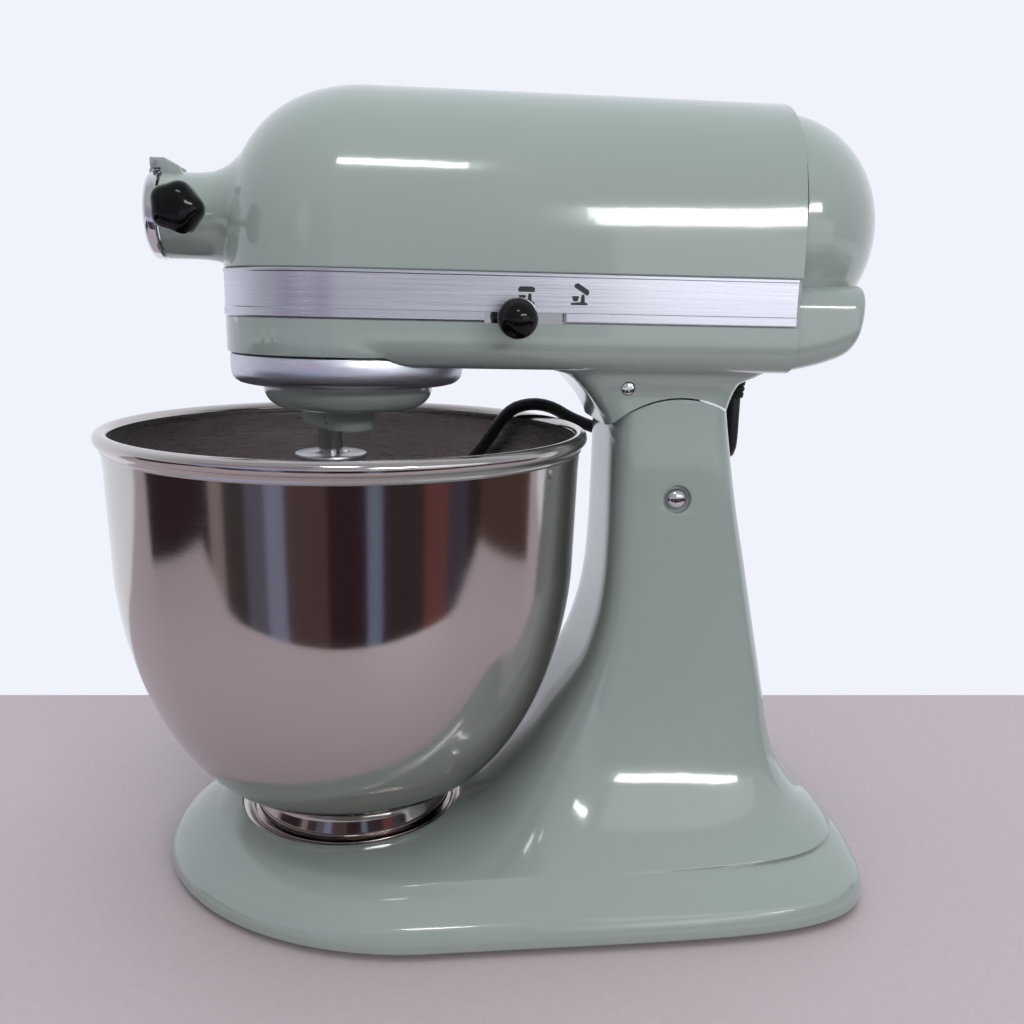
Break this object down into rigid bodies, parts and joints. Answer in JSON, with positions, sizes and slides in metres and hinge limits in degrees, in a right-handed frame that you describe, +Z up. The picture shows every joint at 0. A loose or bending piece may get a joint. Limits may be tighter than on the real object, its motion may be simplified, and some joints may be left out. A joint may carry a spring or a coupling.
{
  "type": "stand_mixer",
  "caption": "Tilt-head stand mixer: enamelled base and column, hinged motor head with a planetary drive and dough hook, steel bowl that twists into its plate, and a mains cord.",
  "frame": {"origin": "middle of the mixer's box, on the surface that its feet stand on", "axes": "+X towards the column and the back of the head, +Z up, -Y the side with the head lock lever and the attachment knob"},
  "size_m": [0.3524, 0.2218, 0.3555],
  "materials": {
    "green_enamel": "gloss enamel",
    "bowl_steel": "polished",
    "brushed_trim": "brushed",
    "chrome": "bright",
    "black_knobs": "gloss",
    "black_rubber": "matt",
    "cast_aluminium": "satin",
    "bronze": "machined",
    "copper": "machined",
    "laminated_iron": "stacked sheet",
    "carbon": "matt",
    "board": "matt"
  },
  "bodies": {
    "stand": {"pedestal": "green_enamel", "foot_1": "black_rubber", "foot_2": "black_rubber", "foot_3": "black_rubber", "foot_4": "black_rubber", "foot_5": "black_rubber", "clamp_plate": "bowl_steel", "plate_screw_1": "chrome", "plate_screw_2": "chrome", "plate_screw_3": "chrome", "hinge_pin": "chrome", "cord_run": "black_rubber", "cord_coil": "black_rubber", "cord_tail": "black_rubber", "plug": "black_rubber"},
    "head": {"gearcase": "green_enamel", "motor_housing": "green_enamel", "trim_band": "brushed_trim", "end_cover": "green_enamel", "end_cover_screw": "chrome", "drip_ring": "brushed_trim", "ring_gear": "cast_aluminium", "stator": "laminated_iron", "brush_near": "carbon", "brush_far": "carbon", "control_board": "board", "strain_relief": "black_rubber", "front_bulkhead": "cast_aluminium", "rear_bulkhead": "cast_aluminium", "front_bearing": "chrome", "rear_bearing": "chrome", "centre_bearing": "chrome", "gear_bracket": "cast_aluminium", "neck_screw": "chrome", "cord_head": "black_rubber", "hub_cover_pin": "chrome"},
    "bowl": {"bowl": "bowl_steel"},
    "planetary": {"planetary": "green_enamel", "planetary_pin": "chrome", "centre_shaft": "bowl_steel", "centre_bevel_gear": "bowl_steel"},
    "agitator": {"agitator_shaft": "bowl_steel", "agitator_pinion": "bowl_steel", "agitator_pin": "chrome", "dough_hook": "cast_aluminium"},
    "worm_wheel": {"worm_wheel": "bronze", "wheel_shaft": "bowl_steel"},
    "armature": {"armature_shaft": "bowl_steel", "rotor": "laminated_iron", "commutator": "copper", "fan": "black_knobs"},
    "hub_drive": {"hub_shaft": "cast_aluminium", "hub_gear": "cast_aluminium"},
    "hub_cover": {"hub_cover": "chrome"},
    "attachment_knob": {"attachment_knob": "black_knobs"},
    "lock_lever": {"lock_lever": "chrome", "lock_knob": "black_knobs"},
    "speed_lever": {"speed_lever": "chrome", "speed_knob": "black_knobs"}
  },
  "joints": [
    {"name": "head_tilt", "type": "hinge", "parent": "stand", "child": "head", "pos_m": [0.08315, 0, 0.1802], "axis": [0, 1, 0], "range_deg": [0, 45]},
    {"name": "bowl_twist", "type": "hinge", "parent": "stand", "child": "bowl", "pos_m": [-0.06525, 0, 0.0225], "axis": [0, 0, 1], "range_deg": [0, 30]},
    {"name": "planetary_spin", "type": "hinge", "parent": "head", "child": "planetary", "pos_m": [-0.06525, 0, 0.24], "axis": [0, 0, 1], "continuous": true},
    {"name": "agitator_spin", "type": "hinge", "parent": "planetary", "child": "agitator", "pos_m": [-0.0761, 0.02472, 0.24], "axis": [0, 0, 1], "continuous": true},
    {"name": "worm_wheel_spin", "type": "hinge", "parent": "head", "child": "worm_wheel", "pos_m": [-0.06525, 0, 0.295], "axis": [0, 1, 0], "continuous": true},
    {"name": "armature_spin", "type": "hinge", "parent": "head", "child": "armature", "pos_m": [0.02475, 0, 0.3176], "axis": [1, 0, 0], "continuous": true},
    {"name": "hub_drive_spin", "type": "hinge", "parent": "head", "child": "hub_drive", "pos_m": [-0.11525, 0, 0.2998], "axis": [1, 0, 0], "continuous": true},
    {"name": "hub_cover_swing", "type": "hinge", "parent": "head", "child": "hub_cover", "pos_m": [-0.14495, 0, 0.321], "axis": [0, 1, 0], "range_deg": [0, 100]},
    {"name": "attachment_knob_turn", "type": "hinge", "parent": "head", "child": "attachment_knob", "pos_m": [-0.12975, -0.04, 0.2998], "axis": [0, -1, 0], "continuous": true},
    {"name": "lock_slide", "type": "slide", "parent": "head", "child": "lock_lever", "axis": [1, 0, 0], "range_m": [0, 0.018]},
    {"name": "speed_slide", "type": "slide", "parent": "head", "child": "speed_lever", "axis": [1, 0, 0], "range_m": [0, 0.04]}
  ],
  "couplings": [
    {"joint": "agitator_spin", "follows": "planetary_spin", "ratio": -4},
    {"joint": "worm_wheel_spin", "follows": "planetary_spin", "ratio": -1.875},
    {"joint": "hub_drive_spin", "follows": "planetary_spin", "ratio": -1.25},
    {"joint": "armature_spin", "follows": "planetary_spin", "ratio": 45}
  ]
}
